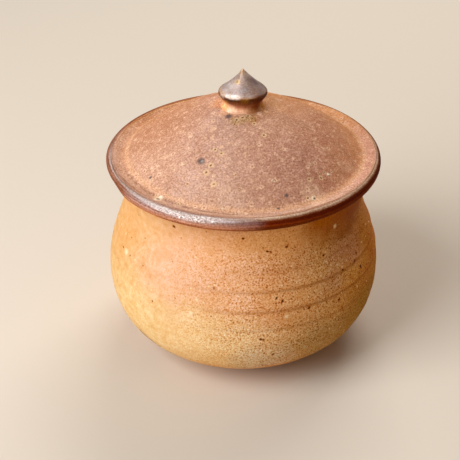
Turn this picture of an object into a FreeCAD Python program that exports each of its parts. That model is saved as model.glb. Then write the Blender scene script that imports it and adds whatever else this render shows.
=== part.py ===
"""Wheel-thrown stoneware salt jar with a loose lid.

Millimetres, +Z up. The origin is the centre of the foot's standing face, and
Z is the axis that the clay turned on. Each piece is drawn as a half section
of (radius, height) points and revolved about Z.
"""
import FreeCAD, Part
import math
import os

# Pot, outside
POT_HEIGHT = 78.4
FOOT_RADIUS = 32.5
FOOT_HEIGHT = 3.0
FOOT_TOP_RADIUS = 34.6
UNDERBELLY_RADIUS = 49.9
UNDERBELLY_HEIGHT = 14.0
BELLY_RADIUS = 55.4
BELLY_HEIGHT = 33.0
SHOULDER_RADIUS = 52.7
SHOULDER_HEIGHT = 49.0
NECK_RADIUS = 47.6
NECK_HEIGHT = 66.0
LIP_RADIUS = 47.8

# Pot, walls and foot ring
POT_WALL = 4.6
LIP_THICKNESS = 5.2
LIP_ROUNDING = 1.4
FLOOR_THICKNESS = 5.5
FLOOR_FLAT_RADIUS = 20.0
FOOT_RING_WIDTH = 5.0
FOOT_RECESS = 3.2
FOOT_ROUNDING = 0.8

# Lid, with heights measured up from the pot's lip
LID_RADIUS = 54.0
RIM_THICKNESS = 5.2
GROOVE_RADIUS = 47.3
GROOVE_DROP = 0.8
DOME_EDGE_RADIUS = 44.5
DOME_EDGE_RISE = 6.0
DOME_MIDDLE_RADIUS = 27.0
DOME_MIDDLE_RISE = 17.7
DOME_TOP_RISE = 24.2
LID_WALL = 4.6
HOLLOW_EDGE_RISE = 3.5
HOLLOW_EDGE_SLOPE = 1.0

# Ring under the lid
RING_CLEARANCE = 1.0
RING_THICKNESS = 4.0
RING_DEPTH = 7.0
RING_ROUNDING = 1.2

# Knob, with heights measured up from the dome
KNOB_BASE_RADIUS = 8.8
KNOB_BASE_SLOPE = 0.4
KNOB_WAIST_RADIUS = 7.5
KNOB_WAIST_RISE = 1.8
KNOB_UNDERCUT_SLOPE = 2.0
KNOB_RADIUS = 9.45
KNOB_EDGE_RISE = 5.5
KNOB_EDGE_ROUNDING = 1.4
KNOB_HEIGHT = 14.8
KNOB_TIP_ROUNDING = 0.5
KNOB_FLANK_HOLLOW = 0.3

# Where the pieces meet
MOUTH_RADIUS = LIP_RADIUS - LIP_THICKNESS
RING_OUTER_RADIUS = MOUTH_RADIUS - RING_CLEARANCE
RING_INNER_RADIUS = RING_OUTER_RADIUS - RING_THICKNESS
KNOB_FOOT = POT_HEIGHT + DOME_TOP_RISE


def point(radius, height):
    return FreeCAD.Vector(radius, 0, height)


def line(start, end):
    """A straight edge between two (radius, height) points."""
    return Part.LineSegment(point(*start), point(*end)).toShape()


def arc(centre, radius, start_deg, end_deg):
    """A circular edge, with angles from the outward radius towards +Z."""
    ends = []
    for degrees in (start_deg, (start_deg + end_deg) / 2, end_deg):
        angle = math.radians(degrees)
        ends.append(point(centre[0] + radius * math.cos(angle), centre[1] + radius * math.sin(angle)))
    return Part.Arc(*ends).toShape()


def bow(start, middle, end):
    """A circular edge through three (radius, height) points."""
    return Part.Arc(point(*start), point(*middle), point(*end)).toShape()


def smooth(stations, start_direction, end_direction):
    """One smooth edge through the stations, leaving and arriving in the given directions."""
    curve = Part.BSplineCurve()
    curve.interpolate(
        Points=[point(*station) for station in stations],
        InitialTangent=point(*start_direction).normalize(),
        FinalTangent=point(*end_direction).normalize(),
        Scale=False,
    )
    return curve.toShape()


def inset(stations, wall):
    """The middle stations moved left of the way they run, by one wall, square to their neighbours."""
    inner = []
    for before, here, after in zip(stations, stations[1:], stations[2:]):
        across = after[0] - before[0]
        up = after[1] - before[1]
        chord = math.hypot(across, up)
        inner.append((here[0] - wall * up / chord, here[1] + wall * across / chord))
    return inner


def ends_of(edge):
    """The (radius, height) of an edge's first and last points."""
    first = edge.valueAt(edge.FirstParameter)
    last = edge.valueAt(edge.LastParameter)
    return (first.x, first.z), (last.x, last.z)


def directions_of(edge):
    """The way an edge runs at its first and last points."""
    first = edge.tangentAt(edge.FirstParameter)
    last = edge.tangentAt(edge.LastParameter)
    return (first.x, first.z), (last.x, last.z)


def section(*edges):
    """A closed half section: gaps between one edge and the next are bridged with straight lines."""
    closed = []
    for edge, following in zip(edges, edges[1:] + edges[:1]):
        closed.append(edge)
        end = ends_of(edge)[1]
        start = ends_of(following)[0]
        if math.dist(end, start) > 1e-6:
            closed.append(line(end, start))
    return closed


def turned(edges):
    """The solid that a closed half section makes about Z."""
    face = Part.Face(Part.Wire(edges))
    solid = face.revolve(FreeCAD.Vector(0, 0, 0), FreeCAD.Vector(0, 0, 1), 360)
    if solid.Volume < 0:
        solid.reverse()
    return solid


def make_jar_body():
    """Pot with a turned foot ring, a full belly, a drawn-in neck and a flat-topped lip."""
    foot_inner_radius = FOOT_RADIUS - FOOT_RING_WIDTH
    lip_rounding = min(LIP_ROUNDING, 0.4 * LIP_THICKNESS)
    lip_side_height = POT_HEIGHT - lip_rounding
    outside = [
        (FOOT_TOP_RADIUS, FOOT_HEIGHT),
        (UNDERBELLY_RADIUS, UNDERBELLY_HEIGHT),
        (BELLY_RADIUS, BELLY_HEIGHT),
        (SHOULDER_RADIUS, SHOULDER_HEIGHT),
        (NECK_RADIUS, NECK_HEIGHT),
        (LIP_RADIUS, lip_side_height),
    ]
    floor_height = FOOT_RECESS + FLOOR_THICKNESS
    inside = [
        (MOUTH_RADIUS, lip_side_height),
        *inset(outside, POT_WALL)[::-1],
        (FLOOR_FLAT_RADIUS, floor_height),
    ]
    foot_slope = (UNDERBELLY_RADIUS - FOOT_TOP_RADIUS, (UNDERBELLY_HEIGHT - FOOT_HEIGHT) / 2)
    return turned(section(
        line((0, FOOT_RECESS), (foot_inner_radius, FOOT_RECESS)),
        arc((foot_inner_radius + FOOT_ROUNDING, FOOT_ROUNDING), FOOT_ROUNDING, 180, 270),
        arc((FOOT_RADIUS - FOOT_ROUNDING, FOOT_ROUNDING), FOOT_ROUNDING, -90, 0),
        smooth(outside, foot_slope, (0, 1)),
        arc((LIP_RADIUS - lip_rounding, lip_side_height), lip_rounding, 0, 90),
        arc((MOUTH_RADIUS + lip_rounding, lip_side_height), lip_rounding, 90, 180),
        smooth(inside, (0, -1), (-1, 0)),
        line((FLOOR_FLAT_RADIUS, floor_height), (0, floor_height)),
    ))


def make_lid_plate():
    """Domed lid with a groove round the dome and a flange whose flat underside sits on the lip."""
    rim_rounding = RIM_THICKNESS / 2
    rim_centre = (LID_RADIUS - rim_rounding, POT_HEIGHT + rim_rounding)
    dome_top = (KNOB_BASE_RADIUS, KNOB_FOOT)
    dome_middle = (DOME_MIDDLE_RADIUS, POT_HEIGHT + DOME_MIDDLE_RISE)
    dome_edge = (DOME_EDGE_RADIUS, POT_HEIGHT + DOME_EDGE_RISE)
    dome = bow(dome_edge, dome_middle, dome_top)
    groove = [
        (rim_centre[0], POT_HEIGHT + RIM_THICKNESS),
        (GROOVE_RADIUS, POT_HEIGHT + RIM_THICKNESS - GROOVE_DROP),
        dome_edge,
    ]
    hollow = [
        (0, KNOB_FOOT - LID_WALL),
        *inset([dome_edge, dome_middle, dome_top], LID_WALL),
        (RING_INNER_RADIUS, POT_HEIGHT + HOLLOW_EDGE_RISE),
    ]
    return turned(section(
        smooth(hollow, (1, 0), (HOLLOW_EDGE_SLOPE, -1)),
        line(hollow[-1], (RING_INNER_RADIUS, POT_HEIGHT)),
        arc(rim_centre, rim_rounding, -90, 90),
        smooth(groove, (-1, 0), directions_of(dome)[0]),
        dome,
        line(dome_top, (0, KNOB_FOOT)),
    ))


def make_lid_locating_ring():
    """Ring under the lid that hangs inside the mouth, with its lower edges rounded."""
    rounding = min(RING_ROUNDING, 0.4 * RING_THICKNESS)
    low_centre_height = POT_HEIGHT - RING_DEPTH + rounding
    return turned(section(
        line((RING_INNER_RADIUS, POT_HEIGHT), (RING_INNER_RADIUS, low_centre_height)),
        arc((RING_INNER_RADIUS + rounding, low_centre_height), rounding, 180, 270),
        arc((RING_OUTER_RADIUS - rounding, low_centre_height), rounding, -90, 0),
        line((RING_OUTER_RADIUS, low_centre_height), (RING_OUTER_RADIUS, POT_HEIGHT)),
    ))


def make_lid_knob():
    """Pointed knob: a hollow-flanked cone with a rounded edge over a narrow waist."""
    flank_slope_deg = math.degrees(math.atan2(KNOB_HEIGHT - KNOB_EDGE_RISE, KNOB_RADIUS))
    flank_normal_deg = 90 - flank_slope_deg
    edge_centre = (KNOB_RADIUS - KNOB_EDGE_ROUNDING, KNOB_FOOT + KNOB_EDGE_RISE)
    tip_centre = (0, KNOB_FOOT + KNOB_HEIGHT - KNOB_TIP_ROUNDING)
    edge = arc(edge_centre, KNOB_EDGE_ROUNDING, -flank_slope_deg, flank_normal_deg)
    tip = arc(tip_centre, KNOB_TIP_ROUNDING, flank_normal_deg, 90)
    under_edge = ends_of(edge)[0]
    flank_start = ends_of(edge)[1]
    flank_end = ends_of(tip)[0]
    normal = math.radians(flank_normal_deg)
    flank_middle = (
        (flank_start[0] + flank_end[0]) / 2 - KNOB_FLANK_HOLLOW * math.cos(normal),
        (flank_start[1] + flank_end[1]) / 2 - KNOB_FLANK_HOLLOW * math.sin(normal),
    )
    waist = [
        (KNOB_BASE_RADIUS, KNOB_FOOT),
        (KNOB_WAIST_RADIUS, KNOB_FOOT + KNOB_WAIST_RISE),
        under_edge,
    ]
    return turned(section(
        smooth(waist, (-1, KNOB_BASE_SLOPE), (1, KNOB_UNDERCUT_SLOPE)),
        edge,
        bow(flank_start, flank_middle, flank_end),
        tip,
        line((0, KNOB_FOOT), (KNOB_BASE_RADIUS, KNOB_FOOT)),
    ))


NODES = {
    "jar_body": make_jar_body,
    "lid_plate": make_lid_plate,
    "lid_locating_ring": make_lid_locating_ring,
    "lid_knob": make_lid_knob,
}

os.makedirs("parts", exist_ok=True)
for name, make in NODES.items():
    solid = make()
    assert solid.isValid() and len(solid.Solids) == 1, name + " is not one valid solid"
    solid.exportStep("parts/" + name + ".step")
    box = solid.BoundBox
    print(name, "volume", round(solid.Volume), "radius", round(box.XMax, 2),
          "height", round(box.ZMin, 2), "to", round(box.ZMax, 2))
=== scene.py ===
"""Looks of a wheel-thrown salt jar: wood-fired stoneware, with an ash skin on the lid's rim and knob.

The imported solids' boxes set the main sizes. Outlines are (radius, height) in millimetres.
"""

import math

import bpy
import numpy as np
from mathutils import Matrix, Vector


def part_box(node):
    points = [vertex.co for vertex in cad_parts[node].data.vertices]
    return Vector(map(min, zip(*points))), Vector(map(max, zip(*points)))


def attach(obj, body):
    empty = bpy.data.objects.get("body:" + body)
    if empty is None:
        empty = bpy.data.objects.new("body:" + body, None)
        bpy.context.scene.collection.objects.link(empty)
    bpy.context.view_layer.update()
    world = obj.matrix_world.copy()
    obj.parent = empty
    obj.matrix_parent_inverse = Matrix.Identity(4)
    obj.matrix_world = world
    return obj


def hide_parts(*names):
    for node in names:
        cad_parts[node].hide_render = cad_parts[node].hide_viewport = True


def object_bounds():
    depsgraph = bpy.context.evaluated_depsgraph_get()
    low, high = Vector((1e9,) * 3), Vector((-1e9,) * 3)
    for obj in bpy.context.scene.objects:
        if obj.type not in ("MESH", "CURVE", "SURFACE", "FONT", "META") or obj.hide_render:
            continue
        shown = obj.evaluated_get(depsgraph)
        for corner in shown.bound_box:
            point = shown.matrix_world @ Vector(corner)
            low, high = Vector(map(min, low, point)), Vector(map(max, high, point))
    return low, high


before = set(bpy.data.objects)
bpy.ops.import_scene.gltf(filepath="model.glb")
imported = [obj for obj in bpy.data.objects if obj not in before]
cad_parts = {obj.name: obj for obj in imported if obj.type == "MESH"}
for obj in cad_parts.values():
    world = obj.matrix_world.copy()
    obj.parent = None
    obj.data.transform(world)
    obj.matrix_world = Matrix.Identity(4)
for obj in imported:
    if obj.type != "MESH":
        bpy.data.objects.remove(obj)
cad_low, cad_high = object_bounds()

MM = 0.001

# Sizes in millimetres: from the solids' boxes where these give them
_, pot_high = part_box("jar_body")
_, plate_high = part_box("lid_plate")
ring_low, ring_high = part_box("lid_locating_ring")
_, knob_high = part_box("lid_knob")

BELLY_RADIUS = pot_high.x / MM
POT_HEIGHT = pot_high.z / MM
LID_RADIUS = plate_high.x / MM
KNOB_FOOT = plate_high.z / MM
RING_OUTER_RADIUS = ring_high.x / MM
RING_LOW = ring_low.z / MM
KNOB_RADIUS = knob_high.x / MM
KNOB_TOP = knob_high.z / MM

# Pot
FOOT_RADIUS = 32.5
FOOT_RING_WIDTH = 5.0
FOOT_RECESS = 3.2
FOOT_ROUNDING = 0.8
FOOT_TOP = (34.6, 3.0)
UNDERBELLY = (49.9, 14.0)
BELLY = (BELLY_RADIUS, 33.0)
SHOULDER = (52.7, 49.0)
NECK = (47.6, 66.0)
LIP_RADIUS = 47.8
LIP_THICKNESS = 5.2
LIP_ROUNDING = 1.4
POT_WALL = 4.6
FLOOR_THICKNESS = 5.5
FLOOR_FLAT_RADIUS = 20.0
MOUTH_RADIUS = LIP_RADIUS - LIP_THICKNESS

# Lid
RIM_THICKNESS = 5.2
GROOVE_RADIUS = 47.3
GROOVE_DROP = 0.8
DOME_EDGE = (44.5, POT_HEIGHT + 6.0)
DOME_MIDDLE = (27.0, POT_HEIGHT + 17.7)
KNOB_BASE_RADIUS = 8.8
DOME_TOP = (KNOB_BASE_RADIUS, KNOB_FOOT)
LID_WALL = 4.6
HOLLOW_EDGE_RISE = 3.5
RING_THICKNESS = 4.0
RING_ROUNDING = 1.2
RING_INNER_RADIUS = RING_OUTER_RADIUS - RING_THICKNESS

# Knob
KNOB_WAIST = (7.5, KNOB_FOOT + 1.8)
KNOB_EDGE_HEIGHT = KNOB_FOOT + 5.5
KNOB_EDGE_ROUNDING = 1.4
KNOB_TIP_ROUNDING = 0.5
KNOB_FLANK_HOLLOW = 0.3


# Outlines

def straight(start, end, step):
    """Points along a straight line, with both ends."""
    count = max(1, round(math.dist(start, end) / step))
    return [tuple(point) for point in np.linspace(start, end, count + 1)]


def arc(centre, radius, start_deg, end_deg, steps):
    """Points along a circular arc, with angles from the outward radius towards +Z."""
    angles = np.radians(np.linspace(start_deg, end_deg, steps + 1))
    return [(centre[0] + radius * math.cos(angle), centre[1] + radius * math.sin(angle)) for angle in angles]


def bow(start, middle, end, step):
    """Points along the circular arc through three points."""
    start, middle, end = (np.array(point, float) for point in (start, middle, end))
    chords = np.array([middle - start, end - start])
    squares = np.array([middle @ middle - start @ start, end @ end - start @ start])
    centre = np.linalg.solve(2 * chords, squares)
    first, last = (math.degrees(math.atan2(*(point - centre)[::-1])) for point in (start, end))
    steps = max(2, round(math.dist(start, end) / step))
    return arc(centre, math.dist(start, centre), first, last, steps)


def smooth(stations, start_direction, end_direction, step):
    """Points along one smooth curve through the stations, leaving and arriving in the given directions."""
    stations = np.array(stations, float)
    spans = np.linalg.norm(np.diff(stations, axis=0), axis=1)
    last = len(spans)
    system = np.zeros((last + 1, last + 1))
    target = np.zeros((last + 1, 2))
    for row, direction in ((0, start_direction), (last, end_direction)):
        system[row, row] = 1
        target[row] = np.array(direction) / math.hypot(*direction)
    for row in range(1, last):
        before, after = spans[row - 1], spans[row]
        system[row, row - 1:row + 2] = after, 2 * (before + after), before
        target[row] = 3 * (
            after / before * (stations[row] - stations[row - 1])
            + before / after * (stations[row + 1] - stations[row])
        )
    slopes = np.linalg.solve(system, target)
    points = [tuple(stations[0])]
    for row, span in enumerate(spans):
        for t in np.linspace(0, 1, max(2, round(span / step)) + 1)[1:]:
            points.append(tuple(
                (1 + 2 * t) * (1 - t) ** 2 * stations[row]
                + t * (1 - t) ** 2 * span * slopes[row]
                + t * t * (3 - 2 * t) * stations[row + 1]
                - t * t * (1 - t) * span * slopes[row + 1]
            ))
    return points


def inset(stations, wall):
    """The middle stations moved left of the way they run, by one wall, square to their neighbours."""
    inner = []
    for before, here, after in zip(stations, stations[1:], stations[2:]):
        across, up = after[0] - before[0], after[1] - before[1]
        chord = math.hypot(across, up)
        inner.append((here[0] - wall * up / chord, here[1] + wall * across / chord))
    return inner


def joined(*runs):
    """One outline from runs of points, with repeated points left out."""
    outline = []
    for point in (point for run in runs for point in run):
        if not outline or math.dist(point, outline[-1]) > 0.01:
            outline.append(point)
    return outline


LIP_SIDE = POT_HEIGHT - LIP_ROUNDING
pot_stations = [FOOT_TOP, UNDERBELLY, BELLY, SHOULDER, NECK, (LIP_RADIUS, LIP_SIDE)]
foot_slope = (UNDERBELLY[0] - FOOT_TOP[0], (UNDERBELLY[1] - FOOT_TOP[1]) / 2)
pot_outside = smooth(pot_stations, foot_slope, (0, 1), step=0.6)

rim_rounding = RIM_THICKNESS / 2
rim_centre = (LID_RADIUS - rim_rounding, POT_HEIGHT + rim_rounding)
dome = bow(DOME_EDGE, DOME_MIDDLE, DOME_TOP, step=0.7)
dome_direction = (dome[1][0] - dome[0][0], dome[1][1] - dome[0][1])
groove = smooth(
    [(rim_centre[0], POT_HEIGHT + RIM_THICKNESS),
     (GROOVE_RADIUS, POT_HEIGHT + RIM_THICKNESS - GROOVE_DROP),
     DOME_EDGE],
    (-1, 0), dome_direction, step=0.35,
)


def pot_outline():
    """From the middle of the foot's recess, out round the belly, over the lip and down to the floor."""
    foot_inner_radius = FOOT_RADIUS - FOOT_RING_WIDTH
    floor_height = FOOT_RECESS + FLOOR_THICKNESS
    inside = [
        (MOUTH_RADIUS, LIP_SIDE), *inset(pot_stations, POT_WALL)[::-1], (FLOOR_FLAT_RADIUS, floor_height),
    ]
    return joined(
        straight((0, FOOT_RECESS), (foot_inner_radius, FOOT_RECESS), step=2.5),
        straight((foot_inner_radius, FOOT_RECESS), (foot_inner_radius, FOOT_ROUNDING), step=0.8),
        arc((foot_inner_radius + FOOT_ROUNDING, FOOT_ROUNDING), FOOT_ROUNDING, 180, 270, steps=4),
        arc((FOOT_RADIUS - FOOT_ROUNDING, FOOT_ROUNDING), FOOT_ROUNDING, -90, 0, steps=4),
        straight((FOOT_RADIUS, FOOT_ROUNDING), FOOT_TOP, step=0.8),
        pot_outside,
        arc((LIP_RADIUS - LIP_ROUNDING, LIP_SIDE), LIP_ROUNDING, 0, 90, steps=6),
        arc((MOUTH_RADIUS + LIP_ROUNDING, LIP_SIDE), LIP_ROUNDING, 90, 180, steps=6),
        smooth(inside, (0, -1), (-1, 0), step=1.5),
        straight((FLOOR_FLAT_RADIUS, floor_height), (0, floor_height), step=2.0),
    )


def plate_outline():
    """From the top of the hollow, out to the ring, round the rim and over the dome to the knob's foot."""
    hollow = [
        (0, KNOB_FOOT - LID_WALL),
        *inset([DOME_EDGE, DOME_MIDDLE, DOME_TOP], LID_WALL),
        (RING_INNER_RADIUS, POT_HEIGHT + HOLLOW_EDGE_RISE),
    ]
    return joined(
        smooth(hollow, (1, 0), (1, -1), step=1.3),
        straight(hollow[-1], (RING_INNER_RADIUS, POT_HEIGHT), step=1.2),
        straight((RING_INNER_RADIUS, POT_HEIGHT), (rim_centre[0], POT_HEIGHT), step=1.2),
        arc(rim_centre, rim_rounding, -90, 90, steps=22),
        groove,
        dome,
        straight(DOME_TOP, (0, KNOB_FOOT), step=1.5),
    )


def ring_outline():
    """Down the inside of the ring, round its lower edges and up the outside."""
    low = RING_LOW + RING_ROUNDING
    return joined(
        straight((RING_INNER_RADIUS, POT_HEIGHT), (RING_INNER_RADIUS, low), step=0.8),
        arc((RING_INNER_RADIUS + RING_ROUNDING, low), RING_ROUNDING, 180, 270, steps=6),
        arc((RING_OUTER_RADIUS - RING_ROUNDING, low), RING_ROUNDING, -90, 0, steps=6),
        straight((RING_OUTER_RADIUS, low), (RING_OUTER_RADIUS, POT_HEIGHT), step=0.8),
        straight((RING_OUTER_RADIUS, POT_HEIGHT), (RING_INNER_RADIUS, POT_HEIGHT), step=0.8),
    )


def knob_outline():
    """From the knob's foot, in at the waist, out to the edge and up the flank to the point."""
    flank_slope = math.atan2(KNOB_TOP - KNOB_EDGE_HEIGHT, KNOB_RADIUS)
    normal_deg = 90 - math.degrees(flank_slope)
    edge = arc((KNOB_RADIUS - KNOB_EDGE_ROUNDING, KNOB_EDGE_HEIGHT), KNOB_EDGE_ROUNDING,
               -math.degrees(flank_slope), normal_deg, steps=8)
    tip = arc((0, KNOB_TOP - KNOB_TIP_ROUNDING), KNOB_TIP_ROUNDING, normal_deg, 90, steps=5)
    flank_middle = (
        (edge[-1][0] + tip[0][0]) / 2 - KNOB_FLANK_HOLLOW * math.sin(flank_slope),
        (edge[-1][1] + tip[0][1]) / 2 - KNOB_FLANK_HOLLOW * math.cos(flank_slope),
    )
    return joined(
        straight((0, KNOB_FOOT), (KNOB_BASE_RADIUS, KNOB_FOOT), step=1.0),
        smooth([(KNOB_BASE_RADIUS, KNOB_FOOT), KNOB_WAIST, edge[0]], (-1, 0.4), (1, 2), step=0.25),
        edge,
        bow(edge[-1], flank_middle, tip[0], step=0.25),
        tip,
    )


# Throwing

def thrown(name, outline, turns):
    """A piece as it comes off the wheel: a half outline, extruded point by point and turned about Z."""
    bpy.ops.object.select_all(action="DESELECT")
    bpy.ops.mesh.primitive_plane_add(size=MM)
    piece = bpy.context.object
    piece.name = name
    piece.data.name = name
    bpy.ops.object.mode_set(mode="EDIT")
    bpy.ops.mesh.select_all(action="SELECT")
    bpy.ops.mesh.merge(type="CENTER")
    bpy.ops.transform.translate(value=(outline[0][0] * MM, 0, outline[0][1] * MM))
    for here, there in zip(outline, outline[1:]):
        step = ((there[0] - here[0]) * MM, 0, (there[1] - here[1]) * MM)
        bpy.ops.mesh.extrude_region_move(TRANSFORM_OT_translate={"value": step})
    bpy.ops.object.mode_set(mode="OBJECT")
    wheel = piece.modifiers.new("wheel", "SCREW")
    wheel.angle = 2 * math.pi
    wheel.steps = wheel.render_steps = turns
    bpy.ops.object.modifier_apply(modifier=wheel.name)
    bpy.ops.object.mode_set(mode="EDIT")
    bpy.ops.mesh.select_all(action="SELECT")
    bpy.ops.mesh.remove_doubles(threshold=0.002 * MM)
    bpy.ops.mesh.normals_make_consistent(inside=False)
    bpy.ops.object.mode_set(mode="OBJECT")
    bpy.ops.object.shade_smooth()
    return piece


pot = thrown("thrown_pot", pot_outline(), turns=360)
plate = thrown("domed_lid", plate_outline(), turns=360)
ring = thrown("ring_under_lid", ring_outline(), turns=240)
knob = thrown("pointed_knob", knob_outline(), turns=160)


# Marks of the wheel and the fingers: depths in millimetres, and places round the axis in turns

THROWING_PITCH = 7.6
GROOVE_AT_FRONT = 51.0
RIDGE_HEIGHT = 0.6
RIDGED_FROM = (36, 42)
RIDGED_TO = (53, 58)
SQUEEZE_DEPTH = 0.3
FLOOR_BELOW = 30
PINCH_DEPTH = 0.35
PINCH_TURN = -0.3
THUMB_DEPTH = 0.2
THUMBED_FROM = (8.2, 9.2)
TURNING_PITCH = 2.3
TURNING_DEPTH = 0.06
TURNED_FROM = (11, 14)
TURNED_TO = (41, 44)
WAVER_DEPTH = 0.22
WAVERING_FROM = (46, 48)
WAVERING_TO = (52.5, 53.8)
DRAWN_IN_DEPTH = 1.1
DRAWN_IN_FROM = (50, 52)
DRAWN_IN_TURN = -0.205
UNDERSIDE_RADIUS = 51.5


def step_up(low, high, values):
    """0 below low, 1 above high, and a smooth rise between."""
    share = np.clip((np.asarray(values) - low) / (high - low), 0, 1)
    return share * share * (3 - 2 * share)


def vertices_of(piece):
    """Each vertex's azimuth in turns from the front, radius, height, and outward and upward normal."""
    count = len(piece.data.vertices)
    places = np.empty(count * 3)
    normals = np.empty(count * 3)
    piece.data.vertices.foreach_get("co", places)
    piece.data.vertex_normals.foreach_get("vector", normals)
    x, y, z = places.reshape(-1, 3).T / MM
    radius = np.hypot(x, y)
    normal_x, normal_y, up = normals.reshape(-1, 3).T
    outward = (x * normal_x + y * normal_y) / np.maximum(radius, 0.01)
    return np.arctan2(x, -y) / math.tau, radius, z, outward, up


def press(piece, name, depth, share):
    """Moves the surface in by depth millimetres, times each vertex's share; a negative depth raises it."""
    group = piece.vertex_groups.new(name=name)
    for index in np.flatnonzero(share > 0.004):
        group.add([int(index)], float(share[index]), "REPLACE")
    bpy.ops.object.select_all(action="DESELECT")
    piece.select_set(True)
    bpy.context.view_layer.objects.active = piece
    finger = piece.modifiers.new(name, "DISPLACE")
    finger.vertex_group = name
    finger.mid_level = 0
    finger.strength = -depth * MM
    bpy.ops.object.modifier_apply(modifier=name)
    piece.vertex_groups.clear()


def keep(piece, name, share):
    """Keeps a share for each vertex as an attribute, for the piece's finish to read."""
    piece.data.attributes.new(name, "FLOAT", "POINT").data.foreach_set("value", share.astype(np.float32))


turn, radius, height, outward, up = vertices_of(pot)
wall_outside = step_up(0.1, 0.4, outward) * step_up(FOOT_TOP[1], FOOT_TOP[1] + 4, height)
wall_outside *= 1 - step_up(LIP_SIDE - 7, LIP_SIDE - 1, height)
above_groove = ((height - GROOVE_AT_FRONT) / THROWING_PITCH + turn) % 1
ridge = step_up(0, 0.3, above_groove) * (1 - above_groove)
ridge *= 0.25 + 0.75 * step_up(*RIDGED_FROM, height) * (1 - step_up(*RIDGED_TO, height))
ridge *= 0.2 + 0.8 * step_up(-0.08, 0.08, turn) * (1 - 0.5 * step_up(0.3, 0.5, turn))
press(pot, "throwing_ridge", -RIDGE_HEIGHT, wall_outside * ridge)
hollows = 0.5 + 0.3 * np.sin(2 * math.tau * turn + 1.1) + 0.2 * np.sin(3 * math.tau * turn + height / 14)
press(pot, "squeeze", SQUEEZE_DEPTH, wall_outside * hollows)
floor_inside = step_up(0.5, 0.9, up) * (height < FLOOR_BELOW)
keep(pot, "inside", np.maximum(step_up(0.25, 0.6, -outward), floor_inside))
recess = step_up(0.5, 0.9, -up) * (radius < FOOT_RADIUS)
keep(pot, "foot", np.maximum(1 - step_up(2.4, 3.6, height), recess))

turn, radius, height, *_ = vertices_of(knob)
flank = step_up(KNOB_EDGE_HEIGHT + 0.6, KNOB_EDGE_HEIGHT + 2.5, height)
flank *= 1 - step_up(KNOB_TOP - 2, KNOB_TOP, height)
press(knob, "pinched_side", PINCH_DEPTH, flank * (1 - step_up(0.1, 0.3, np.abs(turn - PINCH_TURN))))
edge = step_up(*THUMBED_FROM, radius)
press(knob, "thumbed_edge", THUMB_DEPTH, edge * (0.5 + 0.5 * np.sin(math.tau * 3 * turn + 0.8)))

turn, radius, height, outward, up = vertices_of(plate)
dome_face = step_up(0.3, 0.7, up) * step_up(*TURNED_FROM, radius)
dome_face *= 1 - step_up(*TURNED_TO, radius)
turning = 0.5 + 0.5 * np.cos(math.tau * (radius / TURNING_PITCH + turn))
press(plate, "turning_lines", TURNING_DEPTH, dome_face * turning)
flange = step_up(0.3, 0.8, up) * step_up(*WAVERING_FROM, radius) * (1 - step_up(*WAVERING_TO, radius))
waver = 0.5 + 0.25 * np.sin(2 * math.tau * turn + 0.4) + 0.25 * np.sin(5 * math.tau * turn)
press(plate, "flange_waver", WAVER_DEPTH, flange * waver)
# Under the rim at the left, where fingers drew the clay in
below_rim = step_up(*DRAWN_IN_FROM, radius)
below_rim *= 1 - step_up(rim_centre[1] - 0.5, rim_centre[1] + 1.5, height)
nearby = 1 - step_up(0.02, 0.06, np.abs(turn - DRAWN_IN_TURN))
press(plate, "drawn_in_rim", DRAWN_IN_DEPTH, below_rim * outward.clip(0) * nearby)
keep(plate, "underside", step_up(0.2, 0.6, -up) * (radius < UNDERSIDE_RADIUS))

for piece, body, node, slot in (
    (pot, "pot", "jar_body", "pot_stoneware"),
    (plate, "lid", "lid_plate", "lid_stoneware"),
    (ring, "lid", "lid_locating_ring", "lid_stoneware"),
    (knob, "lid", "lid_knob", "knob_ash_glaze"),
):
    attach(piece, body)
    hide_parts(node)


# Finishes: pattern sizes and reaches are in millimetres

def linear(code):
    """An sRGB hex colour as the linear colour that shaders and lamps take."""
    channels = [int(code[at:at + 2], 16) / 255 for at in (0, 2, 4)]
    return (*[c / 12.92 if c <= 0.04045 else ((c + 0.055) / 1.055) ** 2.4 for c in channels], 1.0)


def add(tree, kind, inputs=None, output=0, **settings):
    """An output of a new node that has these settings, and each input linked or set by name or number."""
    node = tree.nodes.new("ShaderNode" + kind)
    for name, value in settings.items():
        setattr(node, name, value)
    for name, value in (inputs or {}).items():
        if isinstance(value, bpy.types.NodeSocket):
            tree.links.new(value, node.inputs[name])
        else:
            node.inputs[name].default_value = value
    return node.outputs[output] if node.outputs else None


def blank(name):
    """A new material and its empty node tree."""
    material = bpy.data.materials.new(name)
    material.use_nodes = True
    material.node_tree.nodes.clear()
    return material, material.node_tree


def seen(tree):
    """1 where the eye or a reflection looks, and 0 for the light that a surface throws on the jar."""
    rays = add(tree, "LightPath").node.outputs
    looked_at = rays["Is Camera Ray"]
    for ray in ("Is Glossy Ray", "Is Transmission Ray"):
        looked_at = add(tree, "Math", {0: looked_at, 1: rays[ray]}, operation="ADD", use_clamp=True)
    return looked_at


FADE_FROM = 320.0
FADE_TO = 760.0


def matt_card(name, shown, thrown_light, far_off):
    """Matt card: a pale sheet with no shine, which throws a deeper light and fades into the far wall."""
    material, tree = blank(name)
    looked_at = seen(tree)
    colour = add(tree, "Mix", {
        0: looked_at, 6: linear(thrown_light), 7: linear(shown),
    }, data_type="RGBA", output=2)
    card = add(tree, "BsdfDiffuse", {"Color": colour})
    away = add(tree, "VectorMath", {0: place_on(tree)}, operation="LENGTH", output="Value")
    far = add(tree, "MapRange", {0: away, 1: FADE_FROM, 2: FADE_TO}, interpolation_type="SMOOTHSTEP")
    far = add(tree, "Math", {0: far, 1: looked_at}, operation="MULTIPLY")
    wall = add(tree, "Emission", {"Color": linear(far_off)})
    sheet = add(tree, "MixShader", {0: far, 1: card, 2: wall})
    add(tree, "OutputMaterial", {"Surface": sheet})
    return material


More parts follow.
